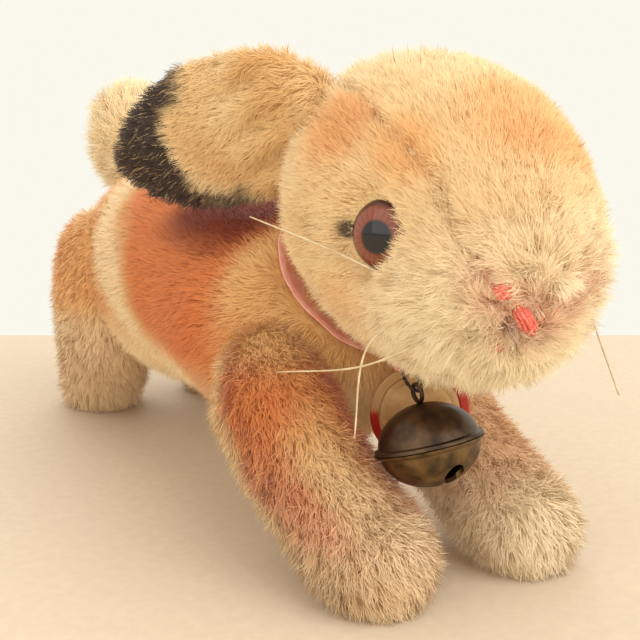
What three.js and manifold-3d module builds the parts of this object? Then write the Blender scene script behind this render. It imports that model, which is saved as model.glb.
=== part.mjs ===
// A small mohair plush hare in a running crouch, stuffed with wood wool.
// Its head turns on a disc joint in the neck, its ears flop on their sewn roots, and a jingle bell
// and a round card tag hang from the ribbon round its neck.
// Millimetres, +Z up. The hare faces -Y and its left side is +X.
import * as THREE from 'three';
import { mergeVertices } from 'three/addons/utils/BufferGeometryUtils.js';
import Module from 'manifold-3d';

const wasm = await Module();
wasm.setup();

// ---------------------------------------------------------------- driving dimensions
const GAP = 0.3; // between pieces that touch
const CLOTH = 2.2; // mohair cloth with its pile pressed down
const FILL_GAP = 0.7; // the stuffing stands this far off the cloth

// A stuffed form is a list of stations along its spine: x, y, z, side radius, upright radius.
const TORSO = [
  [-5, 21.5, 34, 0, 0],
  [-5, 23, 34.5, 10, 10.5],
  [-5, 28.5, 36.5, 18.5, 17.5],
  [-5, 37, 39.5, 25, 22],
  [-5, 52, 41, 27, 22.5],
  [-5, 74, 42, 27, 22.5],
  [-5, 98, 42, 28, 25],
  [-5, 121, 42, 28, 27],
  [-5, 138, 42, 23, 23.5],
  [-5, 148, 43, 13, 13.5],
  [-5, 151.5, 43.5, 0, 0],
];
const HEAD = [
  [0, 36, 72, 0, 0],
  [0, 33, 72, 12, 12],
  [0, 26, 71, 21, 20.5],
  [0, 16, 68.5, 25, 24.5],
  [0, 6, 65.5, 23.5, 25],
  [0, -3, 61.8, 19.5, 22.8],
  [0, -10, 57.5, 16, 18.2],
  [0, -15.5, 54.3, 11, 12],
  [0, -18.3, 53, 5, 5.5],
  [0, -19, 52.7, 0, 0],
];
const FRONT_LEGS = {
  left: [
    [8, 38, 37, 0, 0],
    [9, 36, 35, 8, 9],
    [10, 30, 28, 9, 10],
    [12.2, 22, 20, 9, 9.2],
    [13.8, 13, 13.6, 9.3, 9],
    [15.2, 5.5, 8.5, 9.4, 9.2],
    [16.2, -0.5, 6.5, 8.6, 8.6],
    [16.8, -4, 6, 5.6, 6],
    [17, -5.2, 6, 0, 0],
  ],
  right: [
    [-22, 35, 41, 0, 0],
    [-23, 33, 39, 8, 9],
    [-25.5, 26, 31.5, 10.5, 11],
    [-24, 18, 23, 9.7, 10],
    [-20.8, 10, 15.2, 9.5, 9.4],
    [-18.2, 3.4, 8.6, 9.6, 9.2],
    [-16.6, -1.8, 6.5, 9, 8.6],
    [-15.8, -5.4, 6, 6, 6.2],
    [-15.5, -6.8, 6, 0, 0],
  ],
};
const HIND_LEG = [
  [19, 117, 54.5, 0, 0],
  [19.5, 119, 50.5, 9, 12.5],
  [20.5, 125, 42, 12, 20],
  [20.5, 130.5, 31.5, 12, 20],
  [19.5, 137.5, 20, 10.5, 14.8],
  [18.5, 143.5, 10.5, 9.8, 11.8],
  [18, 147.5, 4.5, 9.3, 10],
  [18, 150, 0, 7, 7.5],
  [18, 151, -1.6, 0, 0],
];
const TAIL = [
  [-5, 141, 58, 0, 0],
  [-5.5, 143, 61, 6, 6],
  [-7, 149, 68, 9.5, 9],
  [-9, 153, 77, 9.5, 9],
  [-10.5, 154.5, 84, 5.5, 5.5],
  [-11, 155, 86, 0, 0],
];
// An ear lies along its own +Y from its root; the upright radius is half its width.
const EAR_LAYER = [
  [0, -2, 1.5, 0, 0],
  [0, -1, 1.5, 0.9, 7],
  [0, 4, 1.2, 1.1, 10],
  [0, 16, 0, 1.2, 13.5],
  [0, 30, -1, 1.2, 14.5],
  [0, 43, -2, 1.1, 12],
  [0, 52, -3, 0.9, 6.5],
  [0, 55, -3, 0, 0],
];
const EAR_ROOT = [18.5, 30, 82];
const EAR_SPREAD = 22; // degrees that the ear turns out from the spine
const EAR_LEAN = 24; // degrees that its upper edge leans in over the back
const EAR_DROOP = 8; // degrees that its tip hangs below its root
const EAR_CUP = 0.012; // how far the edges curl towards the body, per mm squared

const NECK_CENTRE = [0, 33, 52];
const NECK_TILT = 48; // degrees the neck axis leans forward of upright
const NECK_RADIUS = 12.3; // of the head's gathered end
const NECK_HOLE = 4.5; // the gathered opening of each cover over its disc
const DISC_RADIUS = 9.2;
const DISC_THICKNESS = 1.6;
const WASHER_RADIUS = 4;
const WASHER_THICKNESS = 0.8;
const PIN_RADIUS = 0.9;
const NECK_CLEARANCE = 31; // radius round the neck axis that the body keeps clear of the head

const EYE_CENTRE = [18.2, -2, 65.5];
const EYE_RADIUS = 6;
const EYE_DEPTH = 3.2;
const EYE_TURN = 60; // degrees that the eye looks out from straight ahead
const SHANK_WIRE = 0.45;
const SHANK_LENGTH = 6;

const RIBBON_THICKNESS = 0.5;
const RIBBON_INNER = 14.5;
const RIBBON_OUTER = 23.6;
const RIBBON_RISE = 4.5; // how far the outer edge lies above the inner one

const BELL_CENTRE = [-5.6, 3.2, 26.6];
const BELL_TURN = [-16.5, -6.3, 0]; // degrees that its loop leans towards the chest and the right
const BELL_RADIUS = 9.2;
const BELL_HEIGHT = 7.4; // from the flange to the top of a cup, which is a flattened dome
const BELL_WALL = 0.7;
const BELL_SLOT = 2.4;
const FLANGE_RADIUS = 10;
const PELLET_RADIUS = 2;
const LOOP_RADIUS = 1.3;
const LOOP_WIRE = 0.4;
const LINK_CENTRE = [-6.5, 7.9, 37.6];
const LINK_RADIUS = 2.6;
const LINK_RISE = 40; // degrees that the thread loop climbs towards the knot
const KNOT_CENTRE = [-5.5, 12.2, 40.2];
const KNOT_RADII = [2.6, 2, 1.8];

const TAG_CENTRE = [0.3, 15.6, 28.2];
const TAG_RADIUS = 9.5;
const TAG_RIM = 1.6;
const TAG_THICKNESS = 0.7;
const TAG_TURN = -25; // degrees that the tag faces towards the hare's right
const TAG_THREAD = 0.7; // from the tag's edge up to the ribbon

const THREAD_RADIUS = 0.35;
const WHISKER_RADIUS = 0.22;
const SEAM_START = 58; // the belly's closing seam runs back from here
const SEAM_PITCH = 3.2; // between two of its stitches
const SEAM_STITCHES = 10;

// ---------------------------------------------------------------- materials
function material(color, roughness, metalness = 0) {
  return new THREE.MeshStandardMaterial({ color, roughness, metalness });
}

const MOHAIR = material('#e3bd84', 0.95);
const MOHAIR_PAW = material('#b39c7c', 0.95);
const MOHAIR_WHITE = material('#efe0bf', 0.95);
const EAR_DARK = material('#4a3a3e', 0.95);
const WOOD_WOOL = material('#d9bf86', 0.9);
const FIBREBOARD = material('#8a6a48', 0.85);
const STEEL = material('#9fa0a2', 0.4, 0.9);
const EYE_GLASS = material('#8a4a2a', 0.08);
const EMBROIDERY = material('#ea7a62', 0.7);
const THREAD = material('#7a3a26', 0.8);
const NYLON = material('#d9c6a0', 0.35);
const SILK = material('#e8a491', 0.5);
const BRASS = material('#6a543a', 0.45, 0.9);
const CARD = material('#d2a066', 0.8);
const TAG_RED = material('#b02418', 0.6);

// ---------------------------------------------------------------- solids
/** A three.js geometry as a solid that can be joined and cut. */
function solid(geometry, matrix = new THREE.Matrix4()) {
  const bare = geometry.clone().applyMatrix4(matrix);
  bare.deleteAttribute('normal');
  bare.deleteAttribute('uv');
  const merged = mergeVertices(bare, 1e-4);
  const corners = merged.index.array;
  const kept = [];
  for (let i = 0; i < corners.length; i += 3) {
    const [a, b, c] = [corners[i], corners[i + 1], corners[i + 2]];
    if (a !== b && b !== c && c !== a) {
      kept.push(a, b, c);
    }
  }
  return new wasm.Manifold(new wasm.Mesh({
    numProp: 3,
    vertProperties: merged.attributes.position.array,
    triVerts: Uint32Array.from(kept),
  }));
}

/** A named mesh of one solid. */
function piece(name, body, look) {
  const { vertProperties, triVerts } = body.getMesh();
  const geometry = new THREE.BufferGeometry();
  geometry.setAttribute('position', new THREE.BufferAttribute(vertProperties, 3));
  geometry.setIndex(new THREE.BufferAttribute(triVerts, 1));
  geometry.computeVertexNormals();
  const mesh = new THREE.Mesh(geometry, look);
  mesh.name = name;
  return mesh;
}

/** A placement: moved to a point after turns in degrees about X, then Y, then Z. */
function placed([x, y, z], [turnX, turnY, turnZ] = [0, 0, 0]) {
  const turn = new THREE.Euler(
    THREE.MathUtils.degToRad(turnX),
    THREE.MathUtils.degToRad(turnY),
    THREE.MathUtils.degToRad(turnZ),
    'ZYX',
  );
  const rotation = new THREE.Quaternion().setFromEuler(turn);
  return new THREE.Matrix4().compose(new THREE.Vector3(x, y, z), rotation, new THREE.Vector3(1, 1, 1));
}

/** The same stations on one side of the torso: side is 1 on its left and -1 on its right. */
function onSide(stations, side) {
  return stations.map(([x, ...rest]) => [TORSO[0][0] + x * side, ...rest]);
}

/** A stuffed form: an elliptical ring at each station, closed by a point at each end. */
function softForm(stations, sides, grow = 0, cup = 0) {
  const centres = stations.map(([x, y, z]) => new THREE.Vector3(x, y, z));
  const last = stations.length - 1;
  const points = [];
  const index = [];
  for (let i = 0; i <= last; i += 1) {
    const along = centres[Math.min(i + 1, last)].clone().sub(centres[Math.max(i - 1, 0)]).normalize();
    if (i === 0 || i === last) {
      const outward = i === 0 ? -grow : grow;
      points.push(centres[i].clone().addScaledVector(along, outward));
      continue;
    }
    const sideways = new THREE.Vector3(1, 0, 0).addScaledVector(along, -along.x).normalize();
    const upright = new THREE.Vector3().crossVectors(sideways, along);
    if (i === 1 || i === last - 1) {
      centres[i].addScaledVector(along, (i === 1 ? -0.7 : 0.7) * grow);
    }
    const [sideRadius, uprightRadius] = [stations[i][3] + grow, stations[i][4] + grow];
    for (let j = 0; j < sides; j += 1) {
      const angle = (2 * Math.PI * j) / sides;
      const reach = uprightRadius * Math.sin(angle);
      points.push(centres[i].clone()
        .addScaledVector(sideways, sideRadius * Math.cos(angle) + cup * reach * reach)
        .addScaledVector(upright, reach));
    }
  }
  const ring = (i, j) => 1 + (i - 1) * sides + (j % sides);
  const end = points.length - 1;
  for (let j = 0; j < sides; j += 1) {
    index.push(0, ring(1, j), ring(1, j + 1));
    for (let i = 1; i < last - 1; i += 1) {
      index.push(ring(i, j), ring(i + 1, j), ring(i, j + 1));
      index.push(ring(i, j + 1), ring(i + 1, j), ring(i + 1, j + 1));
    }
    index.push(ring(last - 1, j), end, ring(last - 1, j + 1));
  }
  const geometry = new THREE.BufferGeometry().setFromPoints(points);
  geometry.setIndex(index);
  return geometry;
}

/** A round bar along a curve. */
function strand(points, radius, steps, sides = 6, closed = false) {
  const curve = new THREE.CatmullRomCurve3(points.map((p) => new THREE.Vector3(...p)), closed);
  const section = new THREE.Shape();
  for (let j = 0; j < sides; j += 1) {
    const angle = (2 * Math.PI * j) / sides;
    section[j === 0 ? 'moveTo' : 'lineTo'](radius * Math.cos(angle), radius * Math.sin(angle));
  }
  section.closePath();
  return new THREE.ExtrudeGeometry(section, { steps, extrudePath: curve, bevelEnabled: false });
}

/** A turned form about +Z from a profile of radius and height. */
function turned(profile, segments) {
  const lathe = new THREE.LatheGeometry(profile.map(([r, h]) => new THREE.Vector2(r, h)), segments);
  return lathe.rotateX(Math.PI / 2);
}

/** A flat ring or disc, from height low to high about +Z. */
function disc(radius, low, high, segments, hole = 0) {
  const profile = hole > 0
    ? [[hole, low], [radius, low], [radius, high], [hole, high], [hole, low]]
    : [[0, low], [radius, low], [radius, high], [0, high]];
  return turned(profile, segments);
}

/** Points on an arc in the plane of radius and height, about a centre on the axis. */
function arc(radius, centreHeight, from, to, steps) {
  const points = [];
  for (let i = 0; i <= steps; i += 1) {
    const angle = THREE.MathUtils.degToRad(from + ((to - from) * i) / steps);
    points.push([radius * Math.sin(angle), centreHeight - radius * Math.cos(angle)]);
  }
  return points;
}

// ---------------------------------------------------------------- shared cutters
const NECK = placed(NECK_CENTRE, [NECK_TILT, 0, 0]);
const REACH = 90; // longer than any cut

/** Everything lower than a height above the floor. */
function below(height) {
  return solid(new THREE.BoxGeometry(4 * REACH, 4 * REACH, REACH), placed([0, 70, height - REACH / 2]));
}

/** The space over the body that the head and the ribbon take, and as much deeper as margin says. */
function neckSpace(margin) {
  const floor = -GAP - margin;
  const rim = floor + RIBBON_RISE;
  const wide = NECK_CLEARANCE + margin;
  return solid(turned([
    [0, floor],
    [RIBBON_INNER - 0.5, floor],
    [RIBBON_OUTER + 1, rim],
    [wide, rim + 8],
    [wide, REACH],
    [0, REACH],
  ], 24), NECK);
}

/** The torso's own space, with the gap that the limbs keep from it. */
function torsoSpace() {
  return solid(softForm(TORSO, 18, GAP));
}

// ---------------------------------------------------------------- covers and stuffing
function bodyPieces() {
  const neckHole = solid(disc(NECK_HOLE, -CLOTH - 4, 6, 10), NECK);
  const hollow = solid(softForm(TORSO, 18, -CLOTH)).subtract(neckSpace(CLOTH));
  const cover = solid(softForm(TORSO, 18)).subtract(neckSpace(0)).subtract(hollow).subtract(neckHole);
  const stuffing = solid(softForm(TORSO, 18, -CLOTH - FILL_GAP))
    .subtract(neckSpace(CLOTH + FILL_GAP))
    .subtract(solid(disc(DISC_RADIUS + 2 * GAP, -12, 8, 12), NECK));
  return [
    piece('body_cover', cover, MOHAIR),
    piece('body_stuffing', stuffing, WOOD_WOOL),
  ];
}

function limbPieces(name, stations, look, keepClear) {
  const hollow = solid(softForm(stations, 12, -CLOTH)).subtract(below(CLOTH));
  const cover = solid(softForm(stations, 12)).subtract(hollow).subtract(below(0)).subtract(keepClear);
  const filling = solid(softForm(stations, 12, -CLOTH - FILL_GAP))
    .subtract(below(CLOTH + FILL_GAP))
    .subtract(keepClear);
  return [
    piece(`${name}_cover`, cover, look),
    piece(`${name}_stuffing`, filling, WOOD_WOOL),
  ];
}

function legPieces(side, word) {
  const torso = torsoSpace();
  return [
    ...limbPieces(`front_leg_${word}`, FRONT_LEGS[word], MOHAIR_PAW, torso),
    ...limbPieces(`hind_leg_${word}`, onSide(HIND_LEG, side), MOHAIR_PAW, torso),
  ];
}

/** The head's form, drawn in by a margin on every face, with the short neck gathered over its disc. */
function headForm(margin) {
  const base = GAP + margin;
  const neck = turned([
    [0, base],
    [NECK_RADIUS - margin, base],
    [NECK_RADIUS + 5 - margin, base + 9],
    [0, base + 16],
  ], 12);
  return solid(softForm(HEAD, 16, -margin)).add(solid(neck, NECK));
}

function headPieces() {
  let cover = headForm(0)
    .subtract(headForm(CLOTH))
    .subtract(solid(disc(NECK_HOLE, -2, CLOTH + 6, 10), NECK));
  let stuffing = headForm(CLOTH + 2 * FILL_GAP)
    .subtract(solid(disc(DISC_RADIUS + 2 * GAP, 0, 10, 12), NECK));
  for (const side of [1, -1]) {
    const channel = new THREE.BoxGeometry(2.6, 18, 4.4).translate(0, 4, 0);
    const hole = solid(channel, eyeFrame(side));
    cover = cover.subtract(hole).subtract(eyeSocket(side));
    stuffing = stuffing.subtract(hole).subtract(eyeSocket(side));
  }
  return [
    piece('head_cover', cover, MOHAIR),
    piece('head_stuffing', stuffing, WOOD_WOOL),
  ];
}

// ---------------------------------------------------------------- neck joint
function neckJoint() {
  const pieces = [];
  const inHead = GAP + CLOTH + GAP;
  for (const [word, sign] of [['head', 1], ['body', -1]]) {
    const low = sign * inHead;
    const high = low + sign * DISC_THICKNESS;
    const outer = high + sign * GAP;
    const board = disc(DISC_RADIUS, Math.min(low, high), Math.max(low, high), 20, PIN_RADIUS + GAP);
    const washerEnd = outer + sign * WASHER_THICKNESS;
    const washer = disc(
      WASHER_RADIUS,
      Math.min(outer, washerEnd),
      Math.max(outer, washerEnd),
      14,
      PIN_RADIUS + GAP,
    );
    pieces.push(piece(`neck_disc_${word}`, solid(board, NECK), FIBREBOARD));
    pieces.push(piece(`neck_washer_${word}`, solid(washer, NECK), STEEL));
  }
  const top = inHead + DISC_THICKNESS + WASHER_THICKNESS + 2 * GAP;
  const stem = disc(PIN_RADIUS, -top, top, 8);
  const eye = new THREE.TorusGeometry(1.5, 0.7, 6, 12).rotateX(Math.PI / 2).translate(0, 0, top + 1.6);
  let pin = solid(stem, NECK).add(solid(eye, NECK));
  for (const side of [1, -1]) {
    const curl = strand([
      [0, 0, -top + 0.5],
      [0.9 * side, 0, -top - 1.2],
      [3 * side, 0, -top - 1.9],
      [4.6 * side, 0, -top - 1.2],
    ], 0.6, 6);
    pin = pin.add(solid(curl, NECK));
  }
  pieces.push(piece('neck_split_pin', pin, STEEL));
  return pieces;
}

// ---------------------------------------------------------------- ears
function earFrame(side) {
  const [x, y, z] = EAR_ROOT;
  return placed([x * side, y, z], [-EAR_DROOP, EAR_LEAN * side, -EAR_SPREAD * side]);
}

function earPieces(side, word) {
  const offset = 1.2 + GAP / 2;
  const layer = (shift) => {
    const form = softForm(EAR_LAYER, 12, 0, -EAR_CUP * side);
    return solid(form.translate(shift * side, 0, 0), earFrame(side));
  };
  return [
    piece(`ear_${word}_back`, layer(offset), MOHAIR),
    piece(`ear_${word}_inner`, layer(-offset), EAR_DARK),
  ];
}

// ---------------------------------------------------------------- face
function eyeFrame(side) {
  const [x, y, z] = EYE_CENTRE;
  return placed([x * side, y, z], [0, 0, EYE_TURN * side]);
}

/** The shallow seat that the eye is drawn into; the eye looks along its frame's -Y. */
function eyeSocket(side) {
  const seat = turned(lensProfile(GAP, 2 + GAP), 12).rotateX(Math.PI / 2);
  return solid(seat, eyeFrame(side));
}

/** Half of the eye's outline: a dome of the eye's depth in front, one of depth back behind. */
function lensProfile(grow, back) {
  const points = [];
  for (let i = 0; i <= 6; i += 1) {
    const angle = (Math.PI * i) / 6;
    const depth = Math.cos(angle) < 0 ? EYE_DEPTH + grow : back;
    points.push([(EYE_RADIUS + grow) * Math.sin(angle), -depth * Math.cos(angle)]);
  }
  points[0][0] = 0;
  points[6][0] = 0;
  return points;
}

function eyePieces(side, word) {
  const lens = solid(turned(lensProfile(0, 2), 14).rotateX(Math.PI / 2), eyeFrame(side));
  const back = 2 + GAP;
  const loop = strand([
    [0, back, 1],
    [0, back + 2.5, 1.5],
    [0, back + SHANK_LENGTH - 0.8, 1.2],
    [0, back + SHANK_LENGTH, 0],
    [0, back + SHANK_LENGTH - 0.8, -1.2],
    [0, back + 2.5, -1.5],
    [0, back, -1],
  ], SHANK_WIRE, 14, 5);
  return [
    piece(`eye_glass_${word}`, lens, EYE_GLASS),
    piece(`eye_shank_${word}`, solid(loop, eyeFrame(side)), STEEL),
  ];
}

/** The nose is a wide V of long stitches; the mouth is one short stitch below it. */
function stitchPieces() {
  const skin = solid(softForm(HEAD, 16, GAP));
  const nose = solid(strand([
    [-9, -15.2, 59.5],
    [-5.6, -17.4, 57.3],
    [0, -20.2, 52.2],
    [5.6, -17.4, 57.3],
    [9, -15.2, 59.5],
  ], 1.2, 12, 8)).subtract(skin);
  const mouth = solid(strand([
    [-1.6, -17.9, 47.3],
    [0, -18.4, 48],
    [1.6, -17.9, 47.3],
  ], 0.7, 4, 6)).subtract(skin);
  return [
    piece('nose_stitches', nose, EMBROIDERY),
    piece('mouth_stitch', mouth, EMBROIDERY),
  ];
}

/** Three nylon whiskers on each side of the muzzle, each bent in its own way. */
function whiskerPieces() {
  const routes = {
    upper: [[17, -8.5, 57.5], [25, 4.5, 62.7], [33, 18.8, 67.1]],
    middle: [[16.6, -9, 54.5], [23.5, -5, 47.6], [27.5, -8.4, 34.2]],
    lower: [[14, -11, 50], [23, -2.2, 44.1], [32, 10.2, 41.4]],
  };
  const pieces = [];
  for (const [side, word] of [[1, 'left'], [-1, 'right']]) {
    for (const [row, points] of Object.entries(routes)) {
      const route = points.map(([x, y, z]) => [x * side, y, z]);
      pieces.push(piece(`whisker_${row}_${word}`, solid(strand(route, WHISKER_RADIUS, 8, 5)), NYLON));
    }
  }
  return pieces;
}

// ---------------------------------------------------------------- ribbon, bell and tag
/** The ribbon's band round the neck, thicker by a margin on every face. */
function ribbonBand(margin) {
  const low = GAP - margin;
  const high = GAP + RIBBON_THICKNESS + margin;
  return solid(turned([
    [RIBBON_INNER - margin, low],
    [RIBBON_OUTER + margin, low + RIBBON_RISE],
    [RIBBON_OUTER + margin, high + RIBBON_RISE],
    [RIBBON_INNER - margin, high],
    [RIBBON_INNER - margin, low],
  ], 32), NECK);
}

function ribbonPieces() {
  const lump = new THREE.SphereGeometry(1, 10, 8).scale(...KNOT_RADII);
  const knot = solid(lump, placed(KNOT_CENTRE)).subtract(ribbonBand(GAP));
  return [
    piece('neck_ribbon', ribbonBand(0), SILK),
    piece('ribbon_knot', knot, SILK),
  ];
}

/** One half of the bell: a cup with a flat flange, opening on the flange's plane. */
function bellHalf(upper) {
  const mid = GAP / 2;
  const rim = BELL_RADIUS - 0.4;
  const flat = BELL_HEIGHT / BELL_RADIUS;
  const shell = arc(BELL_RADIUS, 0, 0, 85, 5).map(([r, h]) => [r, mid - h * flat]);
  const hollow = arc(BELL_RADIUS - BELL_WALL, 0, 0, 90, 5).map(([r, h]) => [r, mid - h * flat]);
  const half = turned([
    ...hollow,
    [rim, mid],
    [FLANGE_RADIUS, mid],
    [FLANGE_RADIUS, mid + BELL_WALL],
    ...shell.reverse(),
  ], 16);
  if (!upper) {
    half.rotateX(Math.PI);
  }
  return solid(half, placed(BELL_CENTRE, BELL_TURN));
}

/** The bell is two crimped cups with a loop on top, a sounding slot below and a pellet inside. */
function bellPieces() {
  const frame = placed(BELL_CENTRE, BELL_TURN);
  const slot = new THREE.BoxGeometry(BELL_SLOT, 2 * BELL_RADIUS - 3, 8).translate(0, 0, -BELL_HEIGHT - 1);
  const loop = new THREE.TorusGeometry(LOOP_RADIUS, LOOP_WIRE, 6, 12).rotateY(Math.PI / 2)
    .translate(0, 0, BELL_HEIGHT + GAP + LOOP_RADIUS + LOOP_WIRE);
  const pellet = new THREE.SphereGeometry(PELLET_RADIUS, 8, 6);
  pellet.translate(0, 0, -BELL_HEIGHT + BELL_WALL + PELLET_RADIUS + 0.5);
  const link = new THREE.TorusGeometry(LINK_RADIUS, THREAD_RADIUS, 6, 12).scale(0.6, 1, 1);
  return [
    piece('bell_upper_shell', bellHalf(true), BRASS),
    piece('bell_lower_shell', bellHalf(false).subtract(solid(slot, frame)), BRASS),
    piece('bell_loop', solid(loop, frame), BRASS),
    piece('bell_pellet', solid(pellet, frame), STEEL),
    piece('bell_thread', solid(link, placed(LINK_CENTRE, [LINK_RISE, 0, 0])), THREAD),
  ];
}

/** A round card with a separate red border, hung from the ribbon by a loop of thread. */
function tagPieces() {
  const frame = placed(TAG_CENTRE, [90, 0, TAG_TURN]);
  const half = TAG_THICKNESS / 2;
  const card = disc(TAG_RADIUS - TAG_RIM - GAP, -half, half, 24);
  const rim = disc(TAG_RADIUS, -half, half, 24, TAG_RADIUS - TAG_RIM);
  const loop = strand([
    [0, TAG_RADIUS + GAP, 0],
    [0, TAG_RADIUS + TAG_THREAD, 0],
  ], THREAD_RADIUS, 3);
  return [
    piece('tag_card', solid(card, frame), CARD),
    piece('tag_rim', solid(rim, frame), TAG_RED),
    piece('tag_thread', solid(loop, frame), THREAD),
  ];
}

/** The hand-sewn seam that closes the belly: a wavy thread lying on the cloth. */
function closingSeam() {
  const points = [];
  for (let i = 0; i <= SEAM_STITCHES; i += 1) {
    const x = TORSO[0][0] + (i % 2 === 0 ? 1 : -1);
    const back = SEAM_PITCH * i;
    points.push([x, SEAM_START + back, 18.6 - 0.075 * back]);
  }
  const seam = solid(strand(points, THREAD_RADIUS, 20)).subtract(solid(softForm(TORSO, 18, GAP)));
  return [piece('closing_seam', seam, THREAD)];
}

// ---------------------------------------------------------------- assembly
const hare = new THREE.Group();
hare.add(...bodyPieces(), ...headPieces(), ...neckJoint());
hare.add(...limbPieces('tail', TAIL, MOHAIR_WHITE, torsoSpace()));
for (const [side, word] of [[1, 'left'], [-1, 'right']]) {
  hare.add(...legPieces(side, word), ...earPieces(side, word), ...eyePieces(side, word));
}
hare.add(...stitchPieces(), ...whiskerPieces(), ...closingSeam());
hare.add(...ribbonPieces(), ...bellPieces(), ...tagPieces());

// The origin is on the floor, under the middle of the toy's bounding box.
const bounds = new THREE.Box3().setFromObject(hare);
const middle = bounds.getCenter(new THREE.Vector3());
hare.position.set(-middle.x, -middle.y, -bounds.min.z);

export default hare;
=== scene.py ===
"""A small vintage mohair plush hare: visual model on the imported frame. Metres, +Z up, faces -Y."""

import math

import bmesh
import bpy
import numpy as np
from mathutils import Matrix, Vector
from mathutils.bvhtree import BVHTree


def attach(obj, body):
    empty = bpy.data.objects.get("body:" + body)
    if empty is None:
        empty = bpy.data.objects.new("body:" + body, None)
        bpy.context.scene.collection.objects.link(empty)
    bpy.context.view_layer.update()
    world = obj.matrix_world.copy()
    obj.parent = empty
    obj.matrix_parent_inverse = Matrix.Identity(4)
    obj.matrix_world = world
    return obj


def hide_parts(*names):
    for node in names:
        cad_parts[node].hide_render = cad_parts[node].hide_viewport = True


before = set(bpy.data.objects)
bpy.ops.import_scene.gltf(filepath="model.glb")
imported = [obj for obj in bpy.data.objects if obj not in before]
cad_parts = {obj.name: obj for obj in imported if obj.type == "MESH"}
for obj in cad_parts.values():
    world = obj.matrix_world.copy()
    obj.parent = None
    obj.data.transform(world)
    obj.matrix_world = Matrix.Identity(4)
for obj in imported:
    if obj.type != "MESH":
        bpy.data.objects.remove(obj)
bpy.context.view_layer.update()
MM = 0.001
SEED = 11

# -------- camera
CAMERA_AT = (-0.1109, -0.2263, 0.0896)
CAMERA_TURN = math.radians(27.6)
CAMERA_TILT = math.radians(12)
CAMERA_LENS = 62.8
AHEAD = Vector((math.sin(CAMERA_TURN), math.cos(CAMERA_TURN), 0))


def aim_along(obj, way):
    """Points a camera or a light."""
    obj.rotation_mode = "QUATERNION"
    obj.rotation_quaternion = way.to_track_quat("-Z", "Y")


def make_camera():
    """The scene's camera, low in front of the hare and on its right side."""
    data = bpy.data.cameras.new("camera")
    data.lens = CAMERA_LENS
    data.sensor_width = 36
    data.clip_start = 0.01
    camera = bpy.data.objects.new("camera", data)
    bpy.context.scene.collection.objects.link(camera)
    aim_along(camera, AHEAD * math.cos(CAMERA_TILT) - Vector((0, 0, math.sin(CAMERA_TILT))))
    camera.location = CAMERA_AT
    bpy.context.scene.camera = camera


make_camera()


# -------- small helpers
def link(obj):
    """Puts an object in the scene."""
    bpy.context.scene.collection.objects.link(obj)
    return obj


def mesh_object(name, vertices, faces, smooth=True):
    """A new object from vertices and faces in the row frame."""
    mesh = bpy.data.meshes.new(name)
    mesh.from_pydata([tuple(v) for v in vertices], [], [tuple(f) for f in faces])
    mesh.validate()
    if smooth:
        mesh.shade_smooth()
    return link(bpy.data.objects.new(name, mesh))


def unit(v):
    """Vectors of length 1, for one vector or for rows of them."""
    v = np.asarray(v, float)
    return v / np.maximum(np.linalg.norm(v, axis=-1, keepdims=True), 1e-12)


def fade(low, high, x):
    """0 at low, 1 at high and smooth between; low may be the greater of the two."""
    t = np.clip((np.asarray(x, float) - low) / (high - low), 0, 1)
    return t * t * (3 - 2 * t)


def band(x, centre, half, soft):
    """1 within half of the centre, falling to 0 over soft."""
    return 1 - fade(half, half + soft, np.abs(np.asarray(x, float) - centre))


def blob(points, centre, radii):
    """1 at the centre of an ellipsoid, falling smoothly to 0 at its surface. Millimetres."""
    d = np.linalg.norm((points / MM - np.array(centre)) / np.array(radii), axis=1)
    return 1 - fade(0.35, 1.0, d)


def waves(points, pitch, seed):
    """A smooth random field from -1 to 1 with features about pitch millimetres wide."""
    rng = np.random.default_rng(seed)
    total = np.zeros(len(points))
    for _ in range(7):
        direction = unit(rng.normal(size=3))
        phase = rng.uniform(0, 2 * math.pi)
        scale = rng.uniform(0.7, 1.5)
        total += np.sin(points @ direction / (pitch * MM) * math.pi * scale + phase)
    return total / 4.0


def grain(points):
    """A number from 0 to 1 for each point, unrelated to its neighbours'."""
    return np.modf(np.abs(np.sin(points @ np.array([127100.0, 311700.0, 74700.0])) * 43758.5))[0]


def linear(srgb):
    """A colour as it looks on screen, 0 to 255, in the renderer's linear values."""
    c = np.array(srgb, float) / 255
    return np.where(c <= 0.04045, c / 12.92, ((c + 0.055) / 1.055) ** 2.4)


def coated(base, *coats):
    """Colours under coats of others, one after another: each a colour with its weight for every row."""
    for colour, weight in coats:
        base = base + (colour - base) * weight[:, None]
    return base


def placed(at, turns=(0, 0, 0)):
    """A placement: moved to a point in mm after turns in degrees about X, then Y, then Z."""
    x, y, z = (math.radians(t) for t in turns)
    turn = Matrix.Rotation(z, 4, "Z") @ Matrix.Rotation(y, 4, "Y") @ Matrix.Rotation(x, 4, "X")
    return Matrix.Translation(Vector(at) * MM) @ turn


def spline(points, steps):
    """Points on a smooth curve through the given ones, evenly spread between each pair."""
    p = np.array(points, float)
    p = np.vstack([2 * p[0] - p[1], p, 2 * p[-1] - p[-2]])
    made = []
    for i in range(1, len(p) - 2):
        for t in np.arange(steps) / steps:
            a = 2 * p[i]
            b = p[i + 1] - p[i - 1]
            c = 2 * p[i - 1] - 5 * p[i] + 4 * p[i + 1] - p[i + 2]
            d = -p[i - 1] + 3 * p[i] - 3 * p[i + 1] + p[i + 2]
            made.append(0.5 * (a + b * t + c * t * t + d * t ** 3))
    made.append(p[-2])
    return np.array(made)


def to_line(points, line):
    """Each point's distance to a broken line, in the units of both."""
    nearest = np.full(len(points), np.inf)
    for a, b in zip(np.array(line[:-1], float), np.array(line[1:], float)):
        t = np.clip((points - a) @ (b - a) / ((b - a) @ (b - a)), 0, 1)
        nearest = np.minimum(nearest, np.linalg.norm(points - a - t[:, None] * (b - a), axis=1))
    return nearest


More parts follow.
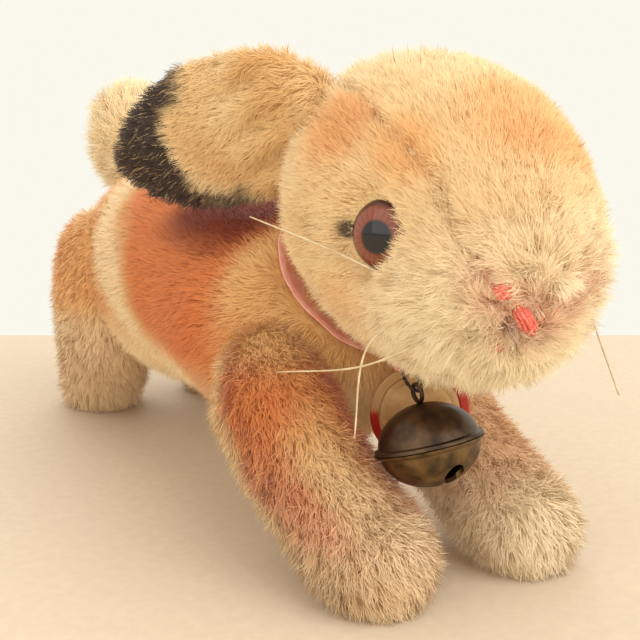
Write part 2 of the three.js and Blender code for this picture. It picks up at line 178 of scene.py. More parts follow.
def mirrored(points):
    """Points with both sides of the head folded onto its left."""
    return np.column_stack([np.abs(points[:, 0]), points[:, 1:]])


def face_outward(obj):
    """Turns every face of a closed mesh to look out of it."""
    work = bmesh.new()
    work.from_mesh(obj.data)
    bmesh.ops.recalc_face_normals(work, faces=work.faces)
    work.to_mesh(obj.data)
    work.free()


def ring_faces(rings, sides, ends="capped"):
    """The faces between rings of vertices in a row. The ends are "capped", "joined" or "open"."""
    faces = []
    for i in range(rings if ends == "joined" else rings - 1):
        for j in range(sides):
            k = (j + 1) % sides
            n = (i + 1) % rings
            faces.append((i * sides + j, i * sides + k, n * sides + k, n * sides + j))
    if ends == "capped":
        faces.append(tuple(reversed(range(sides))))
        faces.append(tuple(range((rings - 1) * sides, rings * sides)))
    return faces


def tubes(name, bars, sides=8):
    """Round bars as one object. Each is a path in mm, a radius for each point, and whether it is closed."""
    vertices = []
    faces = []
    for path, radii, closed in bars:
        path = np.array(path, float)
        if closed:
            along = unit(np.roll(path, -1, axis=0) - np.roll(path, 1, axis=0))
        else:
            along = unit(np.gradient(path, axis=0))
        quads = ring_faces(len(path), sides, "joined" if closed else "capped")
        faces += [tuple(len(vertices) + i for i in face) for face in quads]
        up = np.array([0.0, 0.0, 1.0]) if abs(along[0][2]) < 0.9 else np.array([1.0, 0.0, 0.0])
        for centre, way, radius in zip(path, along, radii):
            side = unit(np.cross(way, up))
            up = unit(np.cross(side, way))
            for angle in 2 * math.pi * np.arange(sides) / sides:
                vertices.append((centre + radius * (math.cos(angle) * side + math.sin(angle) * up)) * MM)
    return mesh_object(name, vertices, faces)


def lathe(name, profile, segments, placement):
    """A turned form about its own +Z from (radius, height) in mm; radius 0 closes an end."""
    vertices = []
    rings = []
    for radius, height in profile:
        if radius < 1e-6:
            rings.append([len(vertices)] * segments)
            vertices.append(placement @ Vector((0, 0, height * MM)))
            continue
        rings.append(list(range(len(vertices), len(vertices) + segments)))
        for j in range(segments):
            angle = 2 * math.pi * j / segments
            at = Vector((radius * math.cos(angle), radius * math.sin(angle), height)) * MM
            vertices.append(placement @ at)
    faces = []
    for low, high in zip(rings[:-1], rings[1:]):
        for j in range(segments):
            k = (j + 1) % segments
            face = list(dict.fromkeys((low[j], low[k], high[k], high[j])))
            if len(face) > 2:
                faces.append(face)
    return mesh_object(name, vertices, faces)


# -------- materials
PAINT = "pile_colour"  # the colour attribute that painted materials read
PILE_GLOW = 0.07


def node_material(name, roughness=0.5, metallic=0.0, specular=0.5, coat=0.0, sheen=0.0):
    """A material, its node tree and its shader with the uniform values set."""
    made = bpy.data.materials.new(name)
    made.use_nodes = True
    shader = made.node_tree.nodes["Principled BSDF"]
    values = {"Roughness": roughness, "Metallic": metallic, "Specular IOR Level": specular,
              "Coat Weight": coat, "Sheen Weight": sheen}
    for key, value in values.items():
        shader.inputs[key].default_value = value
    return made, made.node_tree, shader


def mottled(name, dark, light, scale, detail=4.0, bump=0.0, **finish):
    """Two colours mixed by noise in object space, with an optional bump of the same noise."""
    made, tree, shader = node_material(name, **finish)
    coordinates = tree.nodes.new("ShaderNodeTexCoord")
    noise = tree.nodes.new("ShaderNodeTexNoise")
    noise.inputs["Scale"].default_value = scale
    noise.inputs["Detail"].default_value = detail
    ramp = tree.nodes.new("ShaderNodeValToRGB")
    for stop, place, colour in zip(ramp.color_ramp.elements, (0.35, 0.65), (dark, light)):
        stop.position = place
        stop.color = (*linear(colour), 1)
    tree.links.new(coordinates.outputs["Object"], noise.inputs["Vector"])
    tree.links.new(noise.outputs["Fac"], ramp.inputs["Fac"])
    tree.links.new(ramp.outputs["Color"], shader.inputs["Base Color"])
    if bump > 0:
        relief = tree.nodes.new("ShaderNodeBump")
        relief.inputs["Strength"].default_value = bump
        relief.inputs["Distance"].default_value = 0.2 * MM
        tree.links.new(noise.outputs["Fac"], relief.inputs["Height"])
        tree.links.new(relief.outputs["Normal"], shader.inputs["Normal"])
    return made


def painted(name, glow=0.0, **finish):
    """A material whose colour is painted on the mesh. Glow stands for light that passes through pile."""
    made, tree, shader = node_material(name, **finish)
    colour = tree.nodes.new("ShaderNodeAttribute")
    colour.attribute_name = PAINT
    tree.links.new(colour.outputs["Color"], shader.inputs["Base Color"])
    if glow > 0:
        tree.links.new(colour.outputs["Color"], shader.inputs["Emission Color"])
        shader.inputs["Emission Strength"].default_value = glow
    return made


PILE = painted("mohair_pile", PILE_GLOW, roughness=0.6, specular=0.2, sheen=0.3)
CLOTH = painted("mohair_cloth", PILE_GLOW, roughness=0.95, specular=0.1)
WOOD_WOOL = mottled("wood_wool", (176, 138, 78), (226, 194, 134), 900, bump=0.6, roughness=0.9)
FIBREBOARD = mottled("fibreboard", (104, 78, 52), (140, 108, 74), 1600, bump=0.3, roughness=0.85)
STEEL = mottled("steel_wire", (132, 132, 134), (176, 176, 178), 700, roughness=0.32, metallic=1.0)
NYLON = mottled("nylon", (192, 164, 120), (222, 200, 162), 500, roughness=0.3, specular=0.6)
THREAD = mottled("thread", (70, 40, 28), (118, 66, 44), 2500, bump=0.5, roughness=0.75)
DARK_THREAD = mottled("dark_thread", (34, 26, 24), (66, 50, 44), 2500, bump=0.5, roughness=0.7)
NOSE_THREAD = mottled("embroidery", (214, 86, 70), (240, 134, 114), 1800, bump=0.4, roughness=0.6)
TAG_CARD = mottled("tag_card", (196, 148, 92), (222, 180, 124), 260, bump=0.2, roughness=0.8)
TAG_LACQUER = painted("tag_rim", roughness=0.45, coat=0.2)
PAD_CLOTH = mottled("seam_cloth", (176, 132, 84), (206, 164, 112), 700, bump=0.4, roughness=0.95)
SILK = mottled("silk_ribbon", (236, 158, 140), (246, 182, 164), 420, bump=0.15, roughness=0.6, specular=0.3)
BRASS = mottled("antique_brass", (70, 56, 38), (122, 96, 62), 330, bump=0.25, roughness=0.4, metallic=0.85)
# a darker copy of the same brass: painted shade on the bell's upper cup and its wire loop
BRASS_PAINTED_SHADE = mottled("antique_brass_painted_shade", (56, 42, 32), (92, 70, 50), 300, bump=0.2, roughness=0.36,
                     metallic=0.8)
EYE_GLASS = painted("eye_glass", roughness=0.6, specular=0.05, coat=1.0)
EYE_GLASS.node_tree.nodes["Principled BSDF"].inputs["Coat Roughness"].default_value = 0.02

RUST = linear((212, 118, 58))
# deep rust spray under the ears, darkened further by the ears' painted shadow
DEEP_RUST_AND_EAR_SHADOW = linear((126, 36, 4))
GOLD = linear((226, 182, 120))
ORANGE = linear((234, 176, 104))
CREAM = linear((240, 216, 168))
PALE = linear((248, 232, 196))
TAN = linear((218, 178, 128))
PAW = linear((232, 212, 178))
AUBERGINE = linear((50, 34, 36))
CORAL = linear((244, 140, 116))
LASH = linear((46, 34, 30))
# LASH_ROOT is LASH darkened by painted shade at the roots of the strands
LASH_ROOT = linear((30, 22, 20))

# -------- skins
RAY_START = 0.02 * MM  # how far off a face its test ray begins


def outside_of(names):
    """The outward faces of CAD covers, as one mesh. A face that looks at its own cover is inside it."""
    vertices = []
    faces = []
    for name in names:
        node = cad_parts[name]
        points = [node.matrix_world @ v.co for v in node.data.vertices]
        rings = [tuple(p.vertices) for p in node.data.polygons]
        tree = BVHTree.FromPolygons(points, rings)
        first = len(vertices)
        vertices += points
        for ring in rings:
            corners = [points[i] for i in ring]
            centre = sum(corners, Vector()) / len(corners)
            normal = (corners[1] - corners[0]).cross(corners[2] - corners[0]).normalized()
            if tree.ray_cast(centre + normal * RAY_START, normal)[0] is None:
                faces.append([first + i for i in ring])
    return vertices, faces


def skin(name, covers, voxel, smoothing):
    """One closed, even skin round CAD covers, remeshed at voxel mm and smoothed in so many passes."""
    vertices, faces = outside_of(covers)
    obj = mesh_object(name, vertices, faces, smooth=False)
    work = bmesh.new()
    work.from_mesh(obj.data)
    bmesh.ops.remove_doubles(work, verts=work.verts, dist=0.01 * MM)
    loose = [v for v in work.verts if not v.link_faces]
    bmesh.ops.delete(work, geom=loose, context="VERTS")
    bmesh.ops.holes_fill(work, edges=[e for e in work.edges if e.is_boundary], sides=0)
    bmesh.ops.triangulate(work, faces=work.faces)
    work.to_mesh(obj.data)
    work.free()
    face_outward(obj)
    remesh = obj.modifiers.new("remesh", "REMESH")
    remesh.mode = "VOXEL"
    remesh.voxel_size = voxel * MM
    soften = obj.modifiers.new("soften", "SMOOTH")
    soften.iterations = smoothing
    soften.factor = 0.5
    apply_modifiers(obj)
    keep_largest(obj)
    obj.data.shade_smooth()
    return obj


def apply_modifiers(obj):
    """Replaces the object's mesh by what its modifiers make of it."""
    bpy.context.view_layer.update()
    evaluated = obj.evaluated_get(bpy.context.evaluated_depsgraph_get())
    made = bpy.data.meshes.new_from_object(evaluated)
    obj.modifiers.clear()
    obj.data = made


def keep_largest(obj):
    """Drops every island of the mesh but the largest."""
    work = bmesh.new()
    work.from_mesh(obj.data)
    left = set(work.verts)
    islands = []
    while left:
        stack = [left.pop()]
        island = [stack[0]]
        while stack:
            for edge in stack.pop().link_edges:
                for vertex in edge.verts:
                    if vertex in left:
                        left.remove(vertex)
                        stack.append(vertex)
                        island.append(vertex)
        islands.append(island)
    islands.sort(key=len)
    for island in islands[:-1]:
        bmesh.ops.delete(work, geom=island, context="VERTS")
    work.to_mesh(obj.data)
    work.free()


def read(items, field, kind=float):
    """Three numbers for each part of a mesh, as rows."""
    rows = np.empty(len(items) * 3, kind)
    items.foreach_get(field, rows)
    return rows.reshape(-1, 3)


def points_of(obj):
    """The object's vertices as rows, in metres."""
    return read(obj.data.vertices, "co")


def paint(mesh, colours):
    """Stores a colour for each vertex."""
    attribute = mesh.color_attributes.new(PAINT, "FLOAT_COLOR", "POINT")
    rgba = np.ones((len(colours), 4), np.float32)
    rgba[:, :3] = colours
    attribute.data.foreach_set("color", rgba.ravel())


def dress(obj, material, body, nodes=()):
    """Gives a piece its material, its body and the CAD nodes that it stands for."""
    obj.data.materials.clear()
    obj.data.materials.append(material)
    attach(obj, body)
    if nodes:
        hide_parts(*nodes)
    return obj


# -------- pile
MOST_STRANDS = 39000  # in one piece
TUFT = 2.3  # mm between tufts, and between the wisps that make them up
WISP = 0.9
STRAY_SHARE = 0.06  # of strands that stand up from the rest
FLOOR_CLEARANCE = 0.1
WARM_ROOT = np.array([1.0, 0.85, 0.68])  # light that has passed through the pile turns warmer
NORMAL_SHARE = 0.65  # how much of a blade's shading comes from the skin under it
LENGTH_SPREAD = (0.72, 1.12)
WIDTH_SPREAD = (0.8, 1.25)
LEAN_LIMITS = (0.02, 1.25)
ROOT_BEND = (0.75, 0.7)  # shares of the lean and of the jitter
TIP_BEND = (1.35, 1.6)
JITTER = (0.16, 0.16, 0.1)  # of a strand, its tuft and its wisp
PULL = (0.35, 0.4)  # towards the middle of the tuft and of the wisp
PARTS = [(0.36, 0.3), (0.34, 0.4), (0.30, 0.5)]  # a part's share of the length and of the pull
MOST_TWIST = 0.7
TAPER = 0.72
TIP_SHARE = np.array([0.0, 0.0, 0.4, 0.4, 0.78, 0.78, 1.0])[:, None]  # of the tip's colour
# painted shade along each blade: darker towards the root, where the pile shades it, and a little painted
# light at the tip
PAINTED_SHADE_ALONG = np.array([0.9, 0.9, 0.97, 0.97, 1.0, 1.0, 1.03])[:, None]


def scatter(obj, count, weight, rng):
    """Random roots on a skin: positions and normals. weight gives the density at rows of points."""
    mesh = obj.data
    mesh.calc_loop_triangles()
    triangles = read(mesh.loop_triangles, "vertices", np.int64)
    normals = read(mesh.vertices, "normal")
    corners = points_of(obj)[triangles]
    area = np.linalg.norm(np.cross(corners[:, 1] - corners[:, 0], corners[:, 2] - corners[:, 0]), axis=1)
    share = area * weight(corners.mean(axis=1))
    chosen = rng.choice(len(triangles), size=count, p=share / share.sum())
    a = rng.random(count)
    b = rng.random(count)
    flip = a + b > 1
    a[flip] = 1 - a[flip]
    b[flip] = 1 - b[flip]
    mix = np.stack([1 - a - b, a, b], axis=1)[:, :, None]
    roots = (corners[chosen] * mix).sum(axis=1)
    return roots, unit((normals[triangles[chosen]] * mix).sum(axis=1))


def evenly(points):
    """The same density of pile everywhere."""
    return np.ones(len(points))


def pile(name, obj, body, count, look, seed, weight=evenly):
    """Mohair pile on a skin as one or more meshes of thin blades.

    look(roots) gives the comb direction, the length in mm, the lean (0 upright, 1 flat), the root and
    tip colours, the width in mm and how strongly the pile tufts, for all the roots or for each.
    """
    rng = np.random.default_rng(seed)
    roots, normals = scatter(obj, count, weight, rng)
    order = np.argsort(roots[:, 1], kind="stable")
    pieces = math.ceil(count / MOST_STRANDS)
    for number, part in enumerate(np.array_split(order, pieces)):
        title = name if pieces == 1 else f"{name}_{number + 1}"
        dress(blades(title, roots[part], normals[part], look, rng), PILE, body)


def clumps(roots, rng, pitch):
    """For each root, the way to its tuft's middle and the tuft's random lean. The pitch is in mm."""
    cell = np.floor(roots / (pitch * MM) + 0.5).astype(np.int64)
    key = (cell[:, 0] * 73856093) ^ (cell[:, 1] * 19349663) ^ (cell[:, 2] * 83492791)
    _, which = np.unique(key, return_inverse=True)
    which = which.ravel()
    total = np.zeros((which.max() + 1, 3))
    np.add.at(total, which, roots)
    size = np.bincount(which)[:, None]
    lean = rng.normal(size=(len(size), 3))
    return (total / size)[which] - roots, lean[which]


def blades(name, roots, normals, look, rng):
    """The strands as one mesh: each a ribbon of two quads and a tip, with its colour and UV spot."""
    count = len(roots)
    comb, length, lean, root_colour, tip_colour, width, tuft = look(roots)
    comb = unit(comb - normals * (comb * normals).sum(axis=1, keepdims=True))
    tuft = np.broadcast_to(tuft, count)[:, None]
    middle, tuft_lean = clumps(roots, rng, TUFT)
    fine_middle, fine_lean = clumps(roots, rng, WISP)
    length = length * MM * rng.uniform(*LENGTH_SPREAD, count)
    lean = np.clip(lean + rng.normal(0, 0.1, count), *LEAN_LIMITS)
    lean[rng.random(count) < STRAY_SHARE] *= 0.5
    jitter = rng.normal(size=(count, 3)) * JITTER[0] + tuft_lean * JITTER[1] * tuft + fine_lean * JITTER[2]
    start, end = (leaning(normals, comb, lean * a, jitter * b) for a, b in (ROOT_BEND, TIP_BEND))
    pull = (middle * PULL[0] + fine_middle * PULL[1]) * tuft
    spine = [roots]
    for way, (share, drawn) in zip((start, unit(start + end), end), PARTS):
        spine.append(spine[-1] + way * (length * share)[:, None] + pull * drawn)
    side = unit(np.cross(unit(start + end), normals))
    twist = rng.uniform(-MOST_TWIST, MOST_TWIST, count)[:, None]
    along = unit(spine[3] - roots)
    side = unit(side * np.cos(twist) + np.cross(along, side) * np.sin(twist))
    half = side * (width * MM * 0.5 * rng.uniform(*WIDTH_SPREAD, count))[:, None]
    points = []
    for place, size in zip(spine, (1, 1, TAPER)):
        points += [place - half * size, place + half * size]
    vertices = np.stack(points + [spine[3]], axis=1)
    vertices[:, :, 2] = np.maximum(vertices[:, :, 2], FLOOR_CLEARANCE * MM)
    tint = 1 + rng.normal(0, 0.055, count)[:, None, None]
    colours = (root_colour * WARM_ROOT)[:, None, :] * (1 - TIP_SHARE) + tip_colour[:, None, :] * TIP_SHARE
    colours = np.clip(colours * tint * PAINTED_SHADE_ALONG, 0, 1)
    facing = np.cross(side, along)
    facing *= np.sign((facing * normals).sum(axis=1, keepdims=True) + 1e-9)
    shading = unit(normals * NORMAL_SHARE + facing * (1 - NORMAL_SHARE))
    return strand_mesh(name, vertices, colours, spots(roots, normals), shading)


def leaning(normals, comb, lean, jitter):
    """Directions that start upright on the skin and lean over towards the comb, a little off."""
    return unit(normals * np.cos(lean)[:, None] + comb * np.sin(lean)[:, None] + jitter)


def spots(roots, normals):
    """A place on the unit square for each strand, near those of its neighbours."""
    u = (roots[:, 1] - roots[:, 1].min()) / max(np.ptp(roots[:, 1]), 1e-6)
    v = np.arctan2(normals[:, 0], normals[:, 2]) / (2 * math.pi) + 0.5
    return np.stack([0.01 + 0.98 * u, 0.01 + 0.97 * v], axis=1)


BLADE_POINTS = 7
BLADE_LOOPS = np.array([0, 1, 3, 2, 2, 3, 5, 4, 4, 5, 6])  # two quads and a triangle
BLADE_STARTS = np.array([0, 4, 8])
BLADE_ACROSS = np.array([-1, 1, -1, 1, -1, 1, 0]) * 0.0012  # a blade's shape on the unit square
BLADE_UP = np.array([0, 0, 0.4, 0.4, 0.75, 0.75, 1.0]) * 0.005


def strand_mesh(name, vertices, colours, places, normals):
    """A mesh of blades with their colours, places on the unit square and shading normals."""
    count = len(vertices)
    mesh = bpy.data.meshes.new(name)
    mesh.vertices.add(count * BLADE_POINTS)
    mesh.vertices.foreach_set("co", vertices.astype(np.float32).ravel())
    index = (np.arange(count)[:, None] * BLADE_POINTS + BLADE_LOOPS).ravel()
    mesh.loops.add(len(index))
    mesh.loops.foreach_set("vertex_index", index.astype(np.int32))
    mesh.polygons.add(count * len(BLADE_STARTS))
    begin = (np.arange(count)[:, None] * len(BLADE_LOOPS) + BLADE_STARTS).ravel()
    mesh.polygons.foreach_set("loop_start", begin.astype(np.int32))
    mesh.update(calc_edges=True)
    mesh.shade_smooth()
    paint(mesh, colours.reshape(-1, 3))
    layer = mesh.uv_layers.new(name="OFBake")
    uv = np.stack([places[:, None, 0] + BLADE_ACROSS, places[:, None, 1] + BLADE_UP], axis=2)
    layer.data.foreach_set("uv", uv.reshape(-1, 2)[index].astype(np.float32).ravel())
    mesh.normals_split_custom_set_from_vertices(np.repeat(normals, BLADE_POINTS, axis=0))
    return link(bpy.data.objects.new(name, mesh))


# -------- body
CLOTH_SHADE = 0.85  # the cloth against its pile, painted darker as shade at the foot of the pile


def flank_colour(roots):
    """The sprayed colours of the body cover: rust bands over a golden back and a cream belly, and the ears'
    shadow painted into the deep rust under them.
    """
    _, y, z = (roots / MM).T
    wobble = waves(roots, 16, 3) * 3.0
    up = z + wobble
    stripe = y + wobble - 1.1 * (np.minimum(z, 62) - 45)
    saddle = fade(22, 12, stripe) * fade(-34, -22, y + wobble)
    return coated(
        GOLD,
        (TAN, 0.35 * fade(-30, 40, y)),
        (RUST, 0.9 * saddle * fade(24, 38, up)),
        (PALE, 0.55 * band(stripe, 28, 3, 6) * fade(22, 36, up)),
        (RUST, 0.5 * band(stripe, 48, 5, 8) * fade(26, 38, up)),
        # deep rust patch under the ears: part spray, part painted shadow of the ears
        (DEEP_RUST_AND_EAR_SHADOW, 0.95 * band(y, -8, 12, 12) * fade(53, 60, up)),
        (CREAM, 0.9 * fade(38, 26, up)),
        (RUST, 0.55 * band(y + wobble, -22, 7, 12) * band(up, 34, 8, 12)),
    )


def body_look(roots):
    """Short, even pile combed back and down."""
    comb = np.array([0.0, 0.75, -0.6]) + 0.25 * waves(roots, 14, 5)[:, None]
    colour = flank_colour(roots)
    return comb, 3.5, 0.86, colour, colour, 0.125, 0.5


def leg_blend(roots, front):
    """How far a root lies down a leg, 0 at the body and 1 at the paw."""
    return fade(34 if front else 44, 12 if front else 16, roots[:, 2] / MM)


def leg_colour(roots, front, right):
    """Plain hind legs, and front legs with a sprayed rust band that is weaker on the left."""
    x, y, z = (roots / MM).T
    wobble = waves(roots, 12, 9) * 2.5
    if not front:
        thigh = (ORANGE, 0.8 * band(z + wobble, 45, 8, 8))
        return coated(0.5 * GOLD + 0.5 * PALE, thigh, (TAN, 0.8 * fade(34, 16, z)))
    across = y + 0.73 * (40 - z) + wobble
    outer = fade(-26, -31, x) if right else fade(14, 19, x)
    return coated(
        GOLD,
        (TAN * 0.88 if right else PAW, 0.85 * leg_blend(roots, front)),
        (PAW, 0.45 * fade(-51, -58, across) * fade(40, 30, z)),
        (PALE, (0.0 if right else 0.5) * fade(18, 30, z)),
        (RUST, (0.8 if right else 0.25) * band(across, -44.5, 3.5, 5) * band(z, 26, 10, 7)),
        (CREAM, 0.8 * fade(-41, -37, across) * outer),
    )


def leg_look(front, right):
    """Pile combed down to the paw, where it is longer, paler and more upright."""
    def look(roots):
        forward = -1.0 if front else -0.2
        comb = np.array([0.0, forward, -1.0]) + 0.3 * waves(roots, 9, 21)[:, None]
        paw = leg_blend(roots, front)
        base = leg_colour(roots, front, right)
        tip = coated(base, (PALE, 0.4 * paw))
        # painted shade: roots darker towards the paw, where the pile is longer
        root = base * (1.0 - 0.08 * paw)[:, None]
        return comb, 3.7 + 0.6 * paw, 0.86 - 0.14 * paw, root, tip, 0.125, 0.7
    return look


def above_floor(points):
    """Pile everywhere on a leg but for its sole, which stands on the floor."""
    return np.clip(fade(0.2, 1.4, points[:, 2] / MM), 0.01, 1)


# -------- head
NOSE_TIP = np.array([0.0, -90.4, 52.5])
NECK_MIDDLE = np.array([0.0, -37.0, 52.0])
HEAD_NARROWING = 0.965  # room at the sides for the pile
EYE_AT = np.array([19.6, -72.8, 65.5])
EYE_CORNER = np.array([21.6, -66.4, 66.0])
NOSE_BLUSH = [(-9, -89, 59), (-2.5, -89.5, 53), (1.5, -90, 55), (7, -89.5, 58.5)]
GUSSET_SEAM = [(13, -50, 88), (16, -62, 86), (16.4, -71, 81.3), (14.2, -79.8, 75.5), (12.8, -84, 70),
               (11.5, -86.6, 65), (7.8, -89, 59.6)]


HEAD_SPOTS = [  # colour, strength, centre, radii and whether there is one on each side
    (ORANGE, 0.8, (3, -80, 81), (16, 15, 13), False),
    (RUST, 0.14, (-1, -82, 80), (9, 9, 6), False),
    (ORANGE, 0.75, (15, -75, 78), (7, 10, 8), True),
    (ORANGE, 0.8, (20, -60, 82), (10, 13, 10), True),
    (RUST, 0.3, (20, -62, 82), (8, 10, 8), True),
    (ORANGE, 0.6, (22, -64, 52), (10, 12, 9), True),
    (ORANGE, 0.45, (12, -79, 73), (9, 9, 12), False),
]


def head_fields(roots):
    """Roots in mm with their distances from the nose and from the eye on their side."""
    p = roots / MM
    from_nose = np.linalg.norm(p - NOSE_TIP, axis=1)
    from_eye = np.linalg.norm(mirrored(p) - EYE_AT, axis=1)
    return p, from_nose, from_eye


def head_colour(roots):
    """Cream with sprayed spots, a pale muzzle and a coral blush along the nose."""
    p, from_nose, _ = head_fields(roots)
    _, y, z = p.T
    wobble = waves(roots, 12, 31)
    coats = [(CREAM, 0.6 + 0.2 * wobble)]
    for colour, strength, centre, radii, both in HEAD_SPOTS:
        coats.append((colour, strength * blob(mirrored(roots) if both else roots, centre, radii)))
    return coated(
        GOLD,
        *coats,
        (RUST, 0.3 * fade(-50, -30, y) * fade(74, 60, z)),
        (PALE, 0.75 * fade(34, 16, from_nose) * fade(70, 56, z + 3 * wobble)),
        (PALE, 0.4 * fade(60, 48, z)),
        (CORAL, 0.55 * fade(5.5, 1.0, to_line(p, NOSE_BLUSH))),
    )


def head_look(roots):
    """Long pale tufts that fan out from the nose, back over the crown and down over the chin."""
    p, from_nose, from_eye = head_fields(roots)
    x, y, z = p.T
    side = np.abs(x)
    comb = unit(p - NOSE_TIP) + np.array([0.0, 0.0, -0.45]) * fade(74, 52, z)[:, None]
    comb[:, 0] += np.sign(x) * 0.35 * fade(12, 2, side) * fade(30, 14, from_nose)
    comb[:, 2] += 1.6 * fade(16, 5, from_nose) * fade(48.5, 52, z)
    comb += 0.2 * np.stack([waves(roots, 9, 41), waves(roots, 9, 42), waves(roots, 9, 43)], axis=1)
    muzzle = fade(36, 18, from_nose) * fade(74, 60, z)
    length = 4.0 + 2.2 * muzzle
    ahead = fade(-2, 4, (mirrored(p) - EYE_AT) @ np.array([-0.5, -0.866, 0.0]))
    length *= 1 - (0.8 - 0.75 * ahead) * fade(9.5, 6.5, from_eye)
    length *= 1 - 0.2 * fade(15, 21, side)
    length *= 1 + 0.5 * fade(-64, -50, y) * fade(54, 66, z)
    length *= 1 - 0.5 * fade(3.0, 1.2, to_line(p, NOSE_BLUSH))
    length *= 1 - 0.4 * seam_nearness(p)
    lean = 0.8 - 0.06 * muzzle + 0.24 * fade(24, 12, from_nose) * fade(50, 56, z)
    base = head_colour(roots)
    # painted shade: roots darker on the muzzle, where the pile is longest
    root = base * (1.0 - 0.06 * muzzle)[:, None]
    frost = (PALE, 0.1 + 0.35 * muzzle + 0.3 * fade(24, 12, from_nose))
    tip = coated(base, frost, (LASH, 0.9 * eye_corner(p)))
    root = coated(root, (LASH_ROOT, 0.9 * eye_corner(p)))
    return comb, length, lean, root, tip, 0.115, 0.6 + 0.9 * muzzle


def seam_nearness(p):
    """1 on the two gusset seams that run from the crown to the nose, falling off to each side."""
    return 1 - fade(0.5, 1.9, to_line(mirrored(p), GUSSET_SEAM))


def eye_corner(p):
    """1 in the small dark patch at the rear corner of each eye."""
    return 1 - fade(1.0, 2.2, np.linalg.norm(mirrored(p) - EYE_CORNER, axis=1))


def head_weight(points):
    """Roots a little denser on the muzzle, none under the eyes or in the neck."""
    p, from_nose, from_eye = head_fields(points)
    weight = 1 + 0.5 * fade(36, 18, from_nose) + 0.5 * fade(20, 8, from_nose)
    weight *= fade(5.6, 6.6, from_eye)
    neck = np.linalg.norm(p - NECK_MIDDLE, axis=1)
    return weight * fade(11, 13.5, neck) * (1 - 0.7 * seam_nearness(p))


# -------- body, legs and head
def make_body():
    """The body and the four legs that are sewn on to it."""
    torso = skin("body_skin", ["body_cover"], 1.5, 6)
    paint(torso.data, flank_colour(points_of(torso)) * CLOTH_SHADE)
    dress(torso, CLOTH, "body", ["body_cover"])
    pile("body_pile", torso, "body", 165000, body_look, SEED)
    for front, word in ((True, "front"), (False, "hind")):
        for right, side in ((False, "left"), (True, "right")):
            name = f"{word}_leg_{side}"
            leg = skin(f"{name}_skin", [f"{name}_cover"], 1.2, 5)
            paint(leg.data, leg_colour(points_of(leg), front, right) * CLOTH_SHADE)
            dress(leg, CLOTH, "body", [f"{name}_cover"])
            look = leg_look(front, right)
            pile(f"{name}_pile", leg, "body", 39000, look, SEED + len(name), above_floor)


def make_head():
    """The head, whose two gusset seams show as pale lines in its cloth."""
    head = skin("head_skin", ["head_cover"], 1.3, 4)
    head.data.transform(Matrix.Diagonal((HEAD_NARROWING, 1, 1, 1)))
    cloth = head_colour(points_of(head)) * CLOTH_SHADE
    paint(head.data, coated(cloth, (PALE, 0.9 * seam_nearness(points_of(head) / MM))))
    dress(head, CLOTH, "head", ["head_cover"])
    pile("head_pile", head, "head", 270000, head_look, SEED + 2, head_weight)
    return head


# -------- tail and ears
NAPPED_CLOTH_SHADE = 0.8  # on the tail and the ears, painted darker as shade at the foot of the pile


def tail_look(roots):
    """Long loose cream fluff."""
    comb = np.array([0.1, 0.5, 0.9]) + 0.4 * waves(roots, 7, 51)[:, None]
    colour = coated(CREAM, (PALE, 0.5 + 0.4 * waves(roots, 8, 52)))
    return comb, 6.5, 0.6, colour, colour, 0.15, 1.1


def make_tail():
    """The short fluffy tail."""
    tail = skin("tail_skin", ["tail_cover"], 1.1, 4)
    paint(tail.data, np.tile(CREAM * NAPPED_CLOTH_SHADE, (len(tail.data.vertices), 1)))
    dress(tail, CLOTH, "body", ["tail_cover"])
    pile("tail_pile", tail, "body", 20000, tail_look, SEED + 3)


EAR_ROOT = (18.5, -40.1, 82)
EAR_TURNS = (-8, 24, -22)
EAR_LENGTH = 55.0
EAR_CUP = 0.012
EAR_HALF_WIDTH = [(-9, 7), (-4, 9.8), (0, 11.6), (5, 13.2), (16, 14.6), (28, 14.8), (40, 12.0), (48, 8.5),
                  (55, 2.0)]
EAR_HALF_THICK = [(-9, 3.4), (-4, 3.4), (0, 3.2), (5, 2.7), (16, 2.1), (30, 1.9), (43, 1.7), (50, 1.4),
                  (55, 0.6)]
EAR_START = -9  # inside the head, in mm along the ear from its root
EAR_STOPS = 72
EAR_ROOT_LIFT = {-1: 1.6, 1: -0.6}
EAR_DROOP = 3
EAR_FOLD = 1.5  # height of the soft folds where the root is gathered
EAR_SIDES = 48


def ear_placement(side):
    """An ear's own frame: its root at 0, its length along +Y. side is 1 for left, -1 for right."""
    x, y, z = EAR_ROOT
    lean, out, turn = EAR_TURNS
    return placed((x * side, y, z), (lean, out * side, turn * side))


def ear_skin(name, side):
    """A cupped leaf, gathered in soft folds at its root, which runs on into the head."""
    placement = ear_placement(side)
    stops = np.linspace(EAR_START, EAR_LENGTH, EAR_STOPS)
    width = np.interp(stops, *np.array(EAR_HALF_WIDTH).T)
    thick = np.interp(stops, *np.array(EAR_HALF_THICK).T)
    vertices = []
    for y, w, h in zip(stops, width, thick):
        fold = EAR_FOLD * math.exp(-((y - 7) / 7.5) ** 2)
        droop = EAR_ROOT_LIFT[side] * fade(16, 2, y) - EAR_DROOP * fade(16, 50, y)
        for j in range(EAR_SIDES):
            angle = 2 * math.pi * j / EAR_SIDES
            z = w * math.sin(angle)
            x = h * math.cos(angle) - EAR_CUP * side * z * z + fold * math.sin(0.85 * z + 0.12 * y)
            vertices.append(placement @ (Vector((x, y, z + droop)) * MM))
    obj = mesh_object(name, vertices, ring_faces(EAR_STOPS, EAR_SIDES))
    face_outward(obj)
    return obj


def ear_dark(local):
    """How dark the sprayed tip and rim are at points of the ear's own frame, in mm."""
    _, y, z = local.T
    width = np.interp(y, *np.array(EAR_HALF_WIDTH).T)
    ragged = 1.6 * waves(local * MM, 5, 61)
    rim = width - np.abs(z + EAR_DROOP * fade(16, 50, y))
    tip = fade(31, 35, y + ragged)
    upper = fade(8.0, 4.5, rim + ragged) * fade(22, 30, y) * (z > 0)
    lower = 0.85 * fade(6.5, 3.5, rim + 1.5 * ragged) * fade(14, 24, y) * (z < 0)
    return np.maximum(tip, np.maximum(upper, lower))


